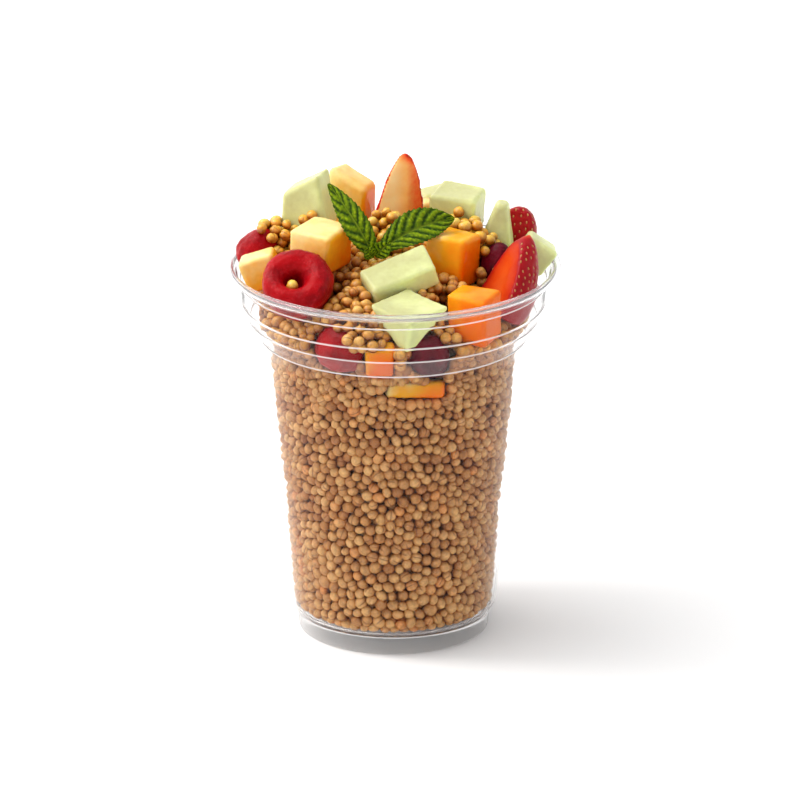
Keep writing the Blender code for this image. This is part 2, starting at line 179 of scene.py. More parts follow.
def softened(outline, cut, steps=3):
    """Rounds every inner corner of an outline with a small arc."""
    points = [outline[0]]
    for before, corner, after in zip(outline, outline[1:], outline[2:]):
        before, corner, after = Vector(before), Vector(corner), Vector(after)
        reach = min(cut, (corner - before).length * 0.45, (after - corner).length * 0.45)
        start = corner + (before - corner).normalized() * reach
        stop = corner + (after - corner).normalized() * reach
        for step in range(steps + 1):
            t = step / steps
            points.append(tuple(start * (1 - t) ** 2 + corner * 2 * t * (1 - t) + stop * t ** 2))
    points.append(outline[-1])
    return points


def moved_in(outline, distance):
    """An outline moved towards the axis by the wall's thickness."""
    moved = []
    for index, point in enumerate(outline):
        before = Vector(outline[max(index - 1, 0)])
        after = Vector(outline[min(index + 1, len(outline) - 1)])
        along = (after - before).normalized()
        moved.append((point[0] - along.y * distance, point[1] + along.x * distance))
    return moved


def turned(name, outline, sides, finish_of=None, hollow=None):
    """Turns an outline of (radius, height) in millimetres about the cup's axis.

    hollow is the closed outline of an air space inside the body.
    """
    bm = bmesh.new()
    rings = []
    for radius, height in outline:
        if radius < 1e-6:
            rings.append([bm.verts.new((0, 0, height * MM))] * sides)
            continue
        turns = [2 * math.pi * step / sides for step in range(sides)]
        rings.append([bm.verts.new((radius * math.cos(a) * MM, radius * math.sin(a) * MM, height * MM))
                      for a in turns])
    for band, (lower, upper) in enumerate(zip(rings, rings[1:])):
        for step in range(sides):
            following = (step + 1) % sides
            corners = [lower[step], lower[following], upper[following], upper[step]]
            face = bm.faces.new(list(dict.fromkeys(corners)))
            if finish_of:
                face.material_index = finish_of(outline[band], outline[band + 1])
    bmesh.ops.recalc_face_normals(bm, faces=bm.faces[:])
    if hollow:
        solid = set(bm.faces)
        turns = [2 * math.pi * step / sides for step in range(sides)]
        loops = [[bm.verts.new((radius * math.cos(a) * MM, radius * math.sin(a) * MM, height * MM))
                  for a in turns] for radius, height in hollow]
        for lower, upper in zip(loops, loops[1:] + loops[:1]):
            for step in range(sides):
                following = (step + 1) % sides
                face = bm.faces.new([lower[step], lower[following], upper[following], upper[step]])
                face.material_index = finish_of(hollow[0], hollow[0])
        walls_of_hollow = [face for face in bm.faces if face not in solid]
        bmesh.ops.recalc_face_normals(bm, faces=walls_of_hollow)
        bmesh.ops.reverse_faces(bm, faces=walls_of_hollow)
    mesh = bpy.data.meshes.new(name)
    bm.to_mesh(mesh)
    bm.free()
    mesh.shade_smooth()
    return link_new(name, mesh)


def beaded(outline):
    """An outline with a small rounded bead standing out at each stacking step."""
    points = []
    for radius, height in outline:
        swell = max(BEAD * math.exp(-((height - step) / BEAD_WIDTH) ** 2) for step in STEP_HEIGHTS)
        points.append((radius + swell, height))
    return points


def finely(outline, spacing):
    """Adds points to the stepped part of an outline, so that none are further apart than spacing."""
    points = [outline[0]]
    for before, after in zip(outline, outline[1:]):
        gap = math.dist(before, after)
        stepped = before[1] > STEPPED_FROM and after[1] > STEPPED_FROM
        cuts = max(1, round(gap / spacing)) if stepped else 1
        for cut in range(1, cuts + 1):
            t = cut / cuts
            points.append((before[0] * (1 - t) + after[0] * t, before[1] * (1 - t) + after[1] * t))
    return points


wall_outside = beaded(finely(softened(WALL_CORNERS, CORNER_ROUND), FINE_SPACING))
outside = softened([(FOOT_RADIUS - 1.1, 0.5), (FOOT_RADIUS - 0.5, 0.0), (FOOT_RADIUS, 0.4),
                    WALL_CORNERS[0]], CORNER_ROUND)[:-1] + wall_outside
wall_inside = moved_in(softened(WALL_CORNERS, CORNER_ROUND), WALL)
lip_middle = Vector((LIP_RADIUS - LIP_THICKNESS / 2, CUP_HEIGHT - LIP_THICKNESS / 2))


def lip_arc(radius, first, last):
    """Points of a circle about the middle of the rolled lip, every 10 degrees."""
    angles = [math.radians(10.0 * step) for step in range(first, last)]
    return [tuple(lip_middle + radius * Vector((math.cos(angle), math.sin(angle)))) for angle in angles]


lip = lip_arc(LIP_THICKNESS / 2, -15, 21)
lip_hollow = lip_arc(LIP_THICKNESS / 2 - LIP_SHEET, 0, 36)
foot_inside = [(FOOT_RADIUS - 1.1, 0.5), (FOOT_RADIUS - 0.9, 3.8), (FOOT_RADIUS - 1.5, 4.9),
               (FOOT_RADIUS - 3.0, FLOOR_UNDERSIDE), (0.0, FLOOR_UNDERSIDE)]
inside_up = [point for point in wall_inside if point[1] > FLOOR_TOP + 1.0]
cup_outline = (softened(foot_inside[::-1], 0.8) + outside[1:] + lip[2:]
               + inside_up[::-1] + [(inside_up[0][0] - 1.4, FLOOR_TOP), (0.0, FLOOR_TOP)])


def clear_finish(name, colour, clearness, roughness, bend):
    """Clear plastic, or clear plastic with a white diffuse share mixed in as painted light: painted
    highlights, reflections and brightness.
    """
    material, _, shader = finish_nodes(name)
    shader.inputs["Base Color"].default_value = (*colour, 1.0)
    shader.inputs["Roughness"].default_value = roughness
    shader.inputs["IOR"].default_value = bend
    shader.inputs["Transmission Weight"].default_value = clearness
    return material


def cup_part(before, after):
    """Which plastic a band of the cup has: 0 wall, 1 bead with a painted highlight, 2 slope with a painted
    reflection, 3 lip, 4 foot with painted light.
    """
    radius = (before[0] + after[0]) / 2
    height = (before[1] + after[1]) / 2
    corner_radii, corner_heights = zip(*WALL_CORNERS)
    outer = radius > float(np.interp(height, corner_heights, corner_radii)) - 0.2
    if height > LIP_FROM:
        return 3
    if height < FOOT_UP_TO:
        return 4
    if outer and height < LEDGE_UP_TO:
        return 2
    if outer and any(abs(height - step) < 0.3 for step in STEP_HEIGHTS):
        return 1
    if outer and STEP_HEIGHTS[0] < height < STEP_HEIGHTS[1]:
        return 2
    return 0


cup = turned("clear_cup", cup_outline, CUP_SIDES, cup_part, lip_hollow)
# Beads, slopes and foot mix a white diffuse share into the clear plastic: painted highlights on the beads, a
# painted reflection on the slopes and painted light in the foot; the lip has a small share of painted light
# too.
for finish in (clear_finish("clear_plastic", (0.99, 0.99, 0.99), 1.0, 0.02, 1.17),
               clear_finish("bead_painted_highlight", (1.0, 0.94, 0.93), 0.42, 0.12, 1.2),
               clear_finish("slope_painted_reflection", (1.0, 0.94, 0.92), 0.94, 0.06, 1.16),
               clear_finish("clear_lip", (0.98, 0.98, 0.99), 0.92, 0.04, 1.22),
               clear_finish("foot_painted_light", (1.0, 1.0, 1.0), 0.88, 0.2, 1.17)):
    cup.data.materials.append(finish)
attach(cup, "root")
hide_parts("cup")


# ------------------------------------------------------------------ grains
# Plump cooked grains, 3 to 4 mm across, each a little uneven with a seam down one side. They
# fill the cup to a heap above the rim; behind the wall they are pale, on top they shine.

GRAIN_RADIUS = 1.78
GRAIN_SPREAD = 0.15
SMALLEST_GRAIN = 1.5
LARGEST_GRAIN = 2.12
SHELL_DEPTH = 8.0
COLLAR_HEIGHT = 92
LATTICE_STEP = 3.3
LATTICE_JITTER = 1.2
HEAP_MIDDLE = 114.0
HEAP_SIDE = 94.0
HEAP_REACH = 44.8
HEAP_BACK_RISE = 5.5
HEAP_BACK_BULGE = 2.5
# Each mound of the heap: middle x and y, radius, rise.
MOUNDS = [(-35, 14, 10, 20), (-33, 3, 6, 13), (-37, -5, 6, 7), (-24, 13, 7, 4), (-12, 26, 9, 6),
          (-2, 8, 9, 14), (15, 34, 9, 9), (19, 17, 9, 7), (20, 8, 7, 12), (26, 4, 6, 8),
          (31, 21, 7, 5), (37, 8, 9, 11), (17, -16, 8, 3), (-14, -24, 10, 5.5), (-10, -37, 8, 8)]
SETTLING_STEPS = 60
SETTLING_DRIFT = 0.22
TOUCH_REACH = 4.6
CLOSENESS = 0.98
WALL_CLEARANCE = 0.8
# Both flanks stay open in the collar: out from x, from y to y, from height to height.
OPEN_AT_SIDES = (37.5, -24.0, 8.0, 97.0, 107.0)
ROOM_BESIDE_FRUIT = 7
GAP_FOR_FRUIT = 5.5
PRESSED_TO_WALL = ("berry_front_left", "berry_front_right", "berry_hulled", "cantaloupe_front",
                   "cantaloupe_low", "cantaloupe_front_right", "honeydew_front", "strawberry_right")
inner_heights = [point[1] for point in wall_inside]
inner_radii = [point[0] for point in wall_inside]
draw = np.random.default_rng(11)


def wall_reach(heights):
    """Inside radius of the cup at given heights."""
    return np.interp(heights, inner_heights, inner_radii)


def heap_top(x, y):
    """Height of the heap's upper surface."""
    reach = np.minimum(1.0, np.hypot(x, y) / HEAP_REACH) ** 2
    back = y / HEAP_REACH
    edge = HEAP_SIDE + HEAP_BACK_RISE * back + HEAP_BACK_BULGE * back ** 2
    height = HEAP_MIDDLE * (1 - reach) + edge * reach
    for mound_x, mound_y, radius, rise in MOUNDS:
        height = height + rise * np.exp(-((x - mound_x) ** 2 + (y - mound_y) ** 2) / radius ** 2)
    return height + 0.6 * np.sin(0.55 * x + 1.0) * np.cos(0.5 * y)


def depth_of(places):
    """How deep each place lies below the nearest of wall, floor and heap top."""
    out = np.hypot(places[:, 0], places[:, 1])
    return np.minimum.reduce([wall_reach(places[:, 2]) - out,
                              heap_top(places[:, 0], places[:, 1]) - places[:, 2],
                              places[:, 2] - FLOOR_TOP])


fruit_names = [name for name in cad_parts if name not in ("cup", "grain_fill", "mint_sprig")]
fruit_trees = []
for name in fruit_names:
    node_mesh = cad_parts[name].data
    points = [vertex.co / MM for vertex in node_mesh.vertices]
    faces = [tuple(face.vertices) for face in node_mesh.polygons]
    corners = np.array(points)
    fruit_trees.append((corners.min(0), corners.max(0), BVHTree.FromPolygons(points, faces)))


def out_of_fruit(places, radii):
    """Pushes grains out of the fruit that they touch."""
    for low, high, tree in fruit_trees:
        near = np.all((places > low - 2.5) & (places < high + 2.5), axis=1)
        for index in np.flatnonzero(near):
            spot = Vector(places[index])
            touch, normal, _, distance = tree.find_nearest(spot)
            inside = (spot - touch).dot(normal) < 0
            if inside or distance < radii[index]:
                places[index] = touch + normal * radii[index]


def touching_pairs(places, reach):
    """Index pairs of grains whose middles are nearer than reach."""
    tree = KDTree(len(places))
    for index, place in enumerate(places):
        tree.insert(place, index)
    tree.balance()
    pairs = []
    for index, place in enumerate(places):
        pairs.extend((index, other) for _, other, _ in tree.find_range(place, reach) if other > index)
    return np.array(pairs)


def drift_out(places, drift):
    """Lets each grain drift towards the wall or the heap's top, whichever is nearer."""
    out = np.hypot(places[:, 0], places[:, 1]) + 1e-6
    to_wall = wall_reach(places[:, 2]) - out
    to_top = heap_top(places[:, 0], places[:, 1]) - places[:, 2]
    outward = (to_wall < to_top)[:, None]
    radial = np.column_stack([places[:, 0] / out, places[:, 1] / out, np.zeros(len(out))])
    places += drift * np.where(outward, radial, (0.0, 0.0, 1.0))


def push_apart(places, radii, pairs):
    """Moves grains that overlap away from each other."""
    apart = places[pairs[:, 1]] - places[pairs[:, 0]]
    distance = np.linalg.norm(apart, axis=1) + 1e-9
    push = np.maximum(0.0, CLOSENESS * (radii[pairs[:, 0]] + radii[pairs[:, 1]]) - distance)
    shift = apart / distance[:, None] * push[:, None] * 0.5
    moves = np.zeros_like(places)
    counts = np.zeros(len(places))
    np.add.at(moves, pairs[:, 0], -shift)
    np.add.at(moves, pairs[:, 1], shift)
    np.add.at(counts, pairs.ravel(), np.repeat(push > 0, 2))
    places += moves / np.maximum(1.0, 0.45 * counts)[:, None]


def keep_inside(places, radii, sunk, loose):
    """Holds the grains inside the wall, above the floor and under the heap's top."""
    out = np.hypot(places[:, 0], places[:, 1]) + 1e-6
    room_out = np.minimum.reduce([wall_reach(places[:, 2] + lift * radii) for lift in (-0.7, 0.0, 0.7)])
    risen = np.clip((places[:, 2] - 8) / 30, 0.0, 1.0)
    most = room_out - radii - WALL_CLEARANCE * risen - loose * (0.2 + 0.8 * risen)
    shrink = np.minimum(1.0, most / out)
    places[:, 0] *= shrink
    places[:, 1] *= shrink
    top = heap_top(places[:, 0], places[:, 1]) - radii - sunk
    places[:, 2] = np.clip(places[:, 2], FLOOR_TOP + radii, np.maximum(top, FLOOR_TOP + radii))


def hides_fruit(places, tree, low, high):
    """Grains that stand between a piece of fruit and the wall that it is pressed to."""
    hiding = []
    near = np.all((places > low - ROOM_BESIDE_FRUIT) & (places < high + ROOM_BESIDE_FRUIT), axis=1)
    for index in np.flatnonzero(near):
        spot = Vector(places[index])
        inward = -Vector((spot.x, spot.y, 0)).normalized()
        if tree.ray_cast(spot - inward * 8, inward, 8 + GAP_FOR_FRUIT)[0] is not None:
            hiding.append(index)
    return hiding


across = np.arange(-44, 45, LATTICE_STEP)
upwards = np.arange(FLOOR_TOP, 126, LATTICE_STEP)
lattice = np.stack(np.meshgrid(across, across, upwards, indexing="ij"), -1).reshape(-1, 3)
lattice += draw.uniform(-LATTICE_JITTER, LATTICE_JITTER, lattice.shape)
depths = depth_of(lattice)
shell = np.where(lattice[:, 2] > COLLAR_HEIGHT, 2.0, 1.0) * SHELL_DEPTH
places = lattice[(depths > 0.6) & (depths < shell)]
radii = np.clip(draw.normal(GRAIN_RADIUS, GRAIN_SPREAD, len(places)), SMALLEST_GRAIN, LARGEST_GRAIN)
sunk = draw.uniform(0.0, 1.4, len(places))
loose = draw.uniform(0.0, 0.6, len(places))

for step in range(SETTLING_STEPS):
    if step % 6 == 0:
        pairs = touching_pairs(places, TOUCH_REACH)
    drift_out(places, SETTLING_DRIFT * (1 - step / SETTLING_STEPS))
    push_apart(places, radii, pairs)
    if step % 3 == 2 or step > SETTLING_STEPS - 6:
        out_of_fruit(places, radii)
    keep_inside(places, radii, sunk, loose)

kept = np.ones(len(places), bool)
for name, (low, high, tree) in zip(fruit_names, fruit_trees):
    if name in PRESSED_TO_WALL:
        kept[hides_fruit(places, tree, low, high)] = False
open_out, open_front, open_back, open_low, open_high = OPEN_AT_SIDES
kept &= ~((np.abs(places[:, 0]) > open_out) & (places[:, 1] > open_front) & (places[:, 1] < open_back)
          & (places[:, 2] > open_low) & (places[:, 2] < open_high))
places, radii = places[kept], radii[kept]


# Shares of a grain's radius.
SEAM_WIDTH = 0.25
SEAM_DEPTH = 0.19
GERM_RISE = 0.10


def ball_bmesh(cuts):
    """A unit ball of even square faces."""
    bm = bmesh.new()
    bmesh.ops.create_cube(bm, size=2.0)
    if cuts > 1:
        bmesh.ops.subdivide_edges(bm, edges=bm.edges[:], cuts=cuts - 1, use_grid_fill=True)
    for vertex in bm.verts:
        x, y, z = vertex.co
        vertex.co = (x * math.sqrt(1 - y * y / 2 - z * z / 2 + y * y * z * z / 3),
                     y * math.sqrt(1 - z * z / 2 - x * x / 2 + z * z * x * x / 3),
                     z * math.sqrt(1 - x * x / 2 - y * y / 2 + x * x * y * y / 3))
    return bm


def grain_shape(cuts):
    """Points and faces of one grain: a ball with a shallow seam and a small pointed germ end."""
    bm = ball_bmesh(cuts)
    points = np.array([vertex.co for vertex in bm.verts])
    bm.verts.index_update()
    faces = np.array([[vertex.index for vertex in face.verts] for face in bm.faces])
    bm.free()
    seam = np.exp(-(points[:, 0] / SEAM_WIDTH) ** 2) * np.clip(points[:, 2] + 0.25, 0, 1)
    germ = np.exp(-((1 - points[:, 1]) / 0.12))
    shaped = points * (1 - SEAM_DEPTH * seam + GERM_RISE * germ)[:, None]
    return points, shaped, faces


def turns_of(count):
    """Random rotations as matrices."""
    q = draw.normal(size=(count, 4))
    q /= np.linalg.norm(q, axis=1)[:, None]
    w, x, y, z = q.T
    return np.stack([
        np.stack([1 - 2 * (y * y + z * z), 2 * (x * y - z * w), 2 * (x * z + y * w)], -1),
        np.stack([2 * (x * y + z * w), 1 - 2 * (x * x + z * z), 2 * (y * z - x * w)], -1),
        np.stack([2 * (x * z - y * w), 2 * (y * z + x * w), 1 - 2 * (x * x + y * y)], -1)], 1)


def keep_values(mesh, name, values):
    """Stores one value for each point of a mesh, for its finish to read."""
    own = mesh.attributes.new(name, "FLOAT", "POINT")
    own.data.foreach_set("value", values)


def grain_heap(name, spots, sizes, cuts, finish):
    """Joins many grains into one mesh; each keeps its own size, squash and turn.

    Each point also keeps how far it faces out of the heap, so that its finish can paint the sides facing
    into the gaps darker: painted shade.
    """
    local, shaped, faces = grain_shape(cuts)
    count = len(spots)
    squash = draw.normal(0.95, 0.095, (count, 1, 3)).clip(0.76, 1.17)
    bodies = shaped[None] * squash * sizes[:, None, None]
    bodies = np.einsum("nij,nkj->nki", turns_of(count), bodies)
    out = np.hypot(spots[:, 0], spots[:, 1])
    near_wall = 1 / (0.5 + np.maximum(0, wall_reach(spots[:, 2]) - out))
    near_top = 1 / (0.5 + np.maximum(0, heap_top(spots[:, 0], spots[:, 1]) - spots[:, 2]))
    near_wall[spots[:, 2] > 106] = 0.0
    away = np.column_stack([spots[:, 0] / out * near_wall, spots[:, 1] / out * near_wall, near_top])
    away /= np.linalg.norm(away, axis=1)[:, None]
    facing_out = 0.5 + 0.5 * np.einsum("nki,ni->nk", bodies, away) / sizes[:, None]
    bodies += spots[:, None]
    all_faces = (faces[None] + (np.arange(count) * len(local))[:, None, None]).reshape(-1, 4)
    mesh = bpy.data.meshes.new(name)
    mesh.vertices.add(count * len(local))
    mesh.vertices.foreach_set("co", (bodies * MM).ravel())
    mesh.loops.add(all_faces.size)
    mesh.loops.foreach_set("vertex_index", all_faces.ravel())
    mesh.polygons.add(len(all_faces))
    mesh.polygons.foreach_set("loop_start", np.arange(len(all_faces)) * 4)
    mesh.update(calc_edges=True)
    mesh.validate()
    mesh.shade_smooth()
    own = mesh.attributes.new("grain_point", "FLOAT_VECTOR", "POINT")
    own.data.foreach_set("vector", np.tile(local, (count, 1)).ravel())
    keep_values(mesh, "facing_out", facing_out.ravel())
    body = link_new(name, mesh)
    mesh.materials.append(finish)
    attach(body, "root")
    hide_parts("grain_fill")
    return body


def add_node(tree, kind, settings=None, **inputs):
    """Adds a node, sets its options and its unlinked inputs."""
    made = tree.nodes.new(kind)
    for option, value in (settings or {}).items():
        setattr(made, option, value)
    for socket, value in inputs.items():
        made.inputs[socket.replace("_", " ")].default_value = value
    return made


def ramp_node(tree, source, stops):
    """A colour ramp over a value, from (place, colour) stops."""
    ramp = tree.nodes.new("ShaderNodeValToRGB")
    while len(ramp.color_ramp.elements) < len(stops):
        ramp.color_ramp.elements.new(0.5)
    for element, (place, colour) in zip(ramp.color_ramp.elements, stops):
        element.position = place
        element.color = (*colour, 1.0)
    tree.links.new(source, ramp.inputs["Fac"])
    return ramp.outputs["Color"]


def blended(tree, factor, first, second, mode="MIX"):
    """Mixes two colours; factor, first and second may each be a socket or a value."""
    mix = add_node(tree, "ShaderNodeMix", {"data_type": "RGBA", "blend_type": mode})
    for socket, value in ((mix.inputs[0], factor), (mix.inputs[6], first), (mix.inputs[7], second)):
        if isinstance(value, bpy.types.NodeSocket):
            tree.links.new(value, socket)
        elif isinstance(value, tuple):
            socket.default_value = (*value, 1.0)
        else:
            socket.default_value = value
    return mix.outputs[2]


def bumped(tree, shader, height, strength, distance):
    """Feeds a height into the shader's surface relief."""
    bump = add_node(tree, "ShaderNodeBump", Strength=strength, Distance=distance * MM)
    tree.links.new(height, bump.inputs["Height"])
    tree.links.new(bump.outputs["Normal"], shader.inputs["Normal"])


def noise_over(tree, place, **inputs):
    """A noise texture laid over the given place."""
    texture = add_node(tree, "ShaderNodeTexNoise", **inputs)
    tree.links.new(place, texture.inputs["Vector"])
    return texture.outputs["Fac"]


def soft_flesh(shader, roughness, share, reach, scale):
    """Surface roughness, and how far light travels inside; scale is in millimetres."""
    shader.inputs["Roughness"].default_value = roughness
    shader.inputs["Subsurface Weight"].default_value = share
    shader.inputs["Subsurface Radius"].default_value = reach
    shader.inputs["Subsurface Scale"].default_value = scale * MM


def grain_finish(name, tones, seam_colour, roughness, coat):
    """Skin of cooked grain: tone differs from grain to grain, darker in the seam, faint mottling, and
    painted shade on the sides facing into the gaps.
    """
    material, tree, shader = finish_nodes(name)
    own = add_node(tree, "ShaderNodeAttribute", {"attribute_name": "grain_point"})
    each = tree.nodes.new("ShaderNodeNewGeometry")
    tone = ramp_node(tree, each.outputs["Random Per Island"], tones)
    split = tree.nodes.new("ShaderNodeSeparateXYZ")
    tree.links.new(own.outputs["Vector"], split.inputs[0])
    offset = add_node(tree, "ShaderNodeVectorMath", {"operation": "SCALE"}, Scale=31.0)
    tree.links.new(each.outputs["Random Per Island"], offset.inputs["Scale"])
    offset.inputs[0].default_value = (3.0, 5.0, 7.0)
    shifted = add_node(tree, "ShaderNodeVectorMath", {"operation": "ADD"})
    tree.links.new(own.outputs["Vector"], shifted.inputs[0])
    tree.links.new(offset.outputs["Vector"], shifted.inputs[1])
    mottle = noise_over(tree, shifted.outputs["Vector"], Scale=1.6, Detail=4.0, Roughness=0.6)
    mottled = ramp_node(tree, mottle, [(0.32, (0.62, 0.55, 0.5)), (0.62, (1.08, 1.06, 1.0))])
    skin = blended(tree, 0.8, tone, mottled, "MULTIPLY")
    # Sides that face into the gaps between grains are painted darker and browner: painted shade.
    gap_side = add_node(tree, "ShaderNodeAttribute", {"attribute_name": "facing_out"})
    painted_gap_shade = ramp_node(tree, gap_side.outputs["Fac"], [(0.42, (0.36, 0.17, 0.07)), (0.68, (0.80, 0.66, 0.52)),
                                                      (0.92, (1.0, 1.0, 1.0))])
    skin = blended(tree, 1.0, skin, painted_gap_shade, "MULTIPLY")
    across = add_node(tree, "ShaderNodeMapRange", {"interpolation_type": "SMOOTHSTEP"},
                      From_Min=0.0, From_Max=0.16, To_Min=1.0, To_Max=0.0)
    width = add_node(tree, "ShaderNodeMath", {"operation": "ABSOLUTE"})
    tree.links.new(split.outputs["X"], width.inputs[0])
    tree.links.new(width.outputs[0], across.inputs["Value"])
    along = add_node(tree, "ShaderNodeMapRange", From_Min=0.0, From_Max=0.6, To_Min=0.0, To_Max=0.8)
    tree.links.new(split.outputs["Z"], along.inputs["Value"])
    seam = add_node(tree, "ShaderNodeMath", {"operation": "MULTIPLY"})
    tree.links.new(across.outputs[0], seam.inputs[0])
    tree.links.new(along.outputs[0], seam.inputs[1])
    tree.links.new(blended(tree, seam.outputs[0], skin, seam_colour), shader.inputs["Base Color"])
    pores = noise_over(tree, shifted.outputs["Vector"], Scale=7.0, Detail=3.0)
    bumped(tree, shader, pores, 0.35, 0.25)
    shader.inputs["Coat Weight"].default_value = coat
    shader.inputs["Coat Roughness"].default_value = 0.25
    soft_flesh(shader, roughness, 0.12, (1.0, 0.5, 0.25), 0.6)
    return material


pale_grain = grain_finish("pale_grain", [(0.0, (0.58, 0.27, 0.08)), (0.35, (0.69, 0.36, 0.115)),
                                         (0.85, (0.80, 0.46, 0.17)), (1.0, (0.76, 0.30, 0.07))],
                          (0.24, 0.06, 0.012), 0.45, 0.0)
# The inner grains take a darker copy of the grain colour: painted shade for the grains seen through the
# gaps.
inner_grain_painted_shade = grain_finish("inner_grain_painted_shade", [(0.0, (0.48, 0.19, 0.045)), (1.0, (0.64, 0.30, 0.08))],
                          (0.20, 0.05, 0.01), 0.55, 0.0)
shiny_grain = grain_finish("shiny_grain", [(0.0, (0.66, 0.29, 0.04)), (0.4, (0.80, 0.41, 0.07)),
                                           (0.8, (0.92, 0.54, 0.13)), (1.0, (0.76, 0.31, 0.04))],
                           (0.24, 0.07, 0.01), 0.36, 0.2)
golden_grain = grain_finish("golden_grain", [(0.0, (0.92, 0.46, 0.03)), (0.4, (1.0, 0.60, 0.06)),
                                             (0.8, (1.0, 0.72, 0.12)), (1.0, (0.96, 0.48, 0.04))],
                            (0.35, 0.12, 0.012), 0.30, 0.25)

LYING_ON_FRUIT = [(-36.0, 2.4), (-34.8, 5.4), (-35.4, 8.4), (-36.4, -0.9), (-38.3, 3.9), (-37.6, 7.2),
                  (-29.6, -24.6), (-1.0, -24.2)]
LEANING_ON_FRUIT = [(-25.6, 125.2), (-23.2, 126.6)]
LONE_RADIUS = 1.75
LONE_REST = 1.4
SLANTING_DOWN = Vector((0, 0.96, -0.28))


def resting_on_fruit(start, way):
    """Middle of a grain that meets the fruit first when it comes from start."""
    hits = [tree.ray_cast(start, way) for _, _, tree in fruit_trees]
    hits = [hit for hit in hits if hit[0] is not None]
    if not hits:
        return []
    touch, normal, _, _ = min(hits, key=lambda hit: hit[3])
    return [touch + normal * LONE_REST]


lone = []
for x, y in LYING_ON_FRUIT:
    lone += resting_on_fruit(Vector((x, y, 160)), Vector((0, 0, -1)))
for x, z in LEANING_ON_FRUIT:
    lone += resting_on_fruit(Vector((x, -60, z + 17)), SLANTING_DOWN)
places = np.vstack([places, np.array(lone)])
radii = np.append(radii, np.full(len(lone), LONE_RADIUS))

WALL_LAYER = 3.1
TOP_LAYER = 4.2
TOP_DEPTH = 8.5
OFF_WALL = 2.6
ABOVE_COLLAR = 104
HEAPED_ABOVE = 112.5
top_gap = heap_top(places[:, 0], places[:, 1]) - places[:, 2]
wall_gap = wall_reach(places[:, 2]) - np.hypot(places[:, 0], places[:, 1])
in_wall_layer = depth_of(places) < WALL_LAYER
on_top = (top_gap < TOP_DEPTH) & (wall_gap > OFF_WALL) | (places[:, 2] > ABOVE_COLLAR)
heaped = on_top & (places[:, 2] > HEAPED_ABOVE)
outermost = top_gap < TOP_LAYER
grain_sets = [("grains_heaped", heaped, 4, golden_grain),
              ("grains_top", on_top & ~heaped & outermost, 4, shiny_grain),
              ("grains_under_top", on_top & ~heaped & ~outermost, 3, shiny_grain),
              ("grains_inner", ~on_top & ~in_wall_layer, 2, inner_grain_painted_shade)]
around = np.arctan2(places[:, 1], places[:, 0])
for quarter in range(4):
    low = -math.pi + quarter * math.pi / 2
    high = low + math.pi / 2 if quarter < 3 else math.pi + 0.01
    chosen = ~on_top & in_wall_layer & (around >= low) & (around < high)
    grain_sets.append(("grains_wall_%d" % (quarter + 1), chosen, 4, pale_grain))
for name, chosen, cuts, finish in grain_sets:
    grain_heap(name, places[chosen], radii[chosen], cuts, finish)

# A dark solid core fills the heap inside its shell of grains, speckled like grains in deep shade: painted
# shade where the inner grains would lie.
CORE_OFF_WALL = 6.6
CORE_OFF_FLOOR = 5.5
CORE_HEIGHTS = (12.0, 40.0, 73.0, 86.0, 91.0, 94.0)
CORE_TOP = [(20.0, 99.5), (0.0, 104.0)]
core_outline = [(0.0, FLOOR_TOP + CORE_OFF_FLOOR)]
for height in CORE_HEIGHTS:
    core_outline.append((float(wall_reach(height)) - CORE_OFF_WALL, height))
core = turned("grain_core", softened(core_outline + CORE_TOP, 2.0), 64)
core_finish, core_tree, core_shader = finish_nodes("dark_between_grains")
core_spots = add_node(core_tree, "ShaderNodeTexVoronoi", Scale=1 / (3.4 * MM))
core_place = core_tree.nodes.new("ShaderNodeTexCoord")
core_tree.links.new(core_place.outputs["Object"], core_spots.inputs["Vector"])
core_tree.links.new(ramp_node(core_tree, core_spots.outputs["Distance"],
                              [(0.0, (0.20, 0.08, 0.025)), (0.6, (0.04, 0.013, 0.004))]),
                    core_shader.inputs["Base Color"])
core_shader.inputs["Roughness"].default_value = 0.8
core.data.materials.append(core_finish)
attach(core, "root")
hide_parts("grain_fill")


# ------------------------------------------------------------------ melon
# Pieces of ripe honeydew and cantaloupe, cut by hand with a knife and a little wet: flat faces,
# edges softened by handling, and flesh that lets light in.

def refined(node, step, rounds, name):
    """A piece made from its guide shape: fine even mesh, rounded edges."""
    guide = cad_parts[node]
    body = link_new(name, guide.data.copy())
    body.data.materials.clear()
    remesh = body.modifiers.new("even_mesh", "REMESH")
    remesh.mode = "VOXEL"
    remesh.voxel_size = step * MM
    remesh.use_smooth_shade = True
    soften = body.modifiers.new("soft_edges", "SMOOTH")
    soften.iterations = rounds
    soften.factor = 0.5
    bpy.context.view_layer.update()
    mesh = bpy.data.meshes.new_from_object(body.evaluated_get(bpy.context.evaluated_depsgraph_get()))
    body.modifiers.clear()
    body.data = mesh
    mesh.name = name
    mesh.shade_smooth()
    return body


def roughen(body, amount, scale, seed):
    """Moves a surface in and out by slow noise, in millimetres."""
    normals = [entry.vector.copy() for entry in body.data.vertex_normals]
    shift = Vector((seed * 7.3, seed * 3.1, seed * 5.7))
    for vertex, normal in zip(body.data.vertices, normals):
        spot = vertex.co / (scale * MM) + shift
        vertex.co += normal * (amount * MM * noise.noise(spot))
    body.data.update()


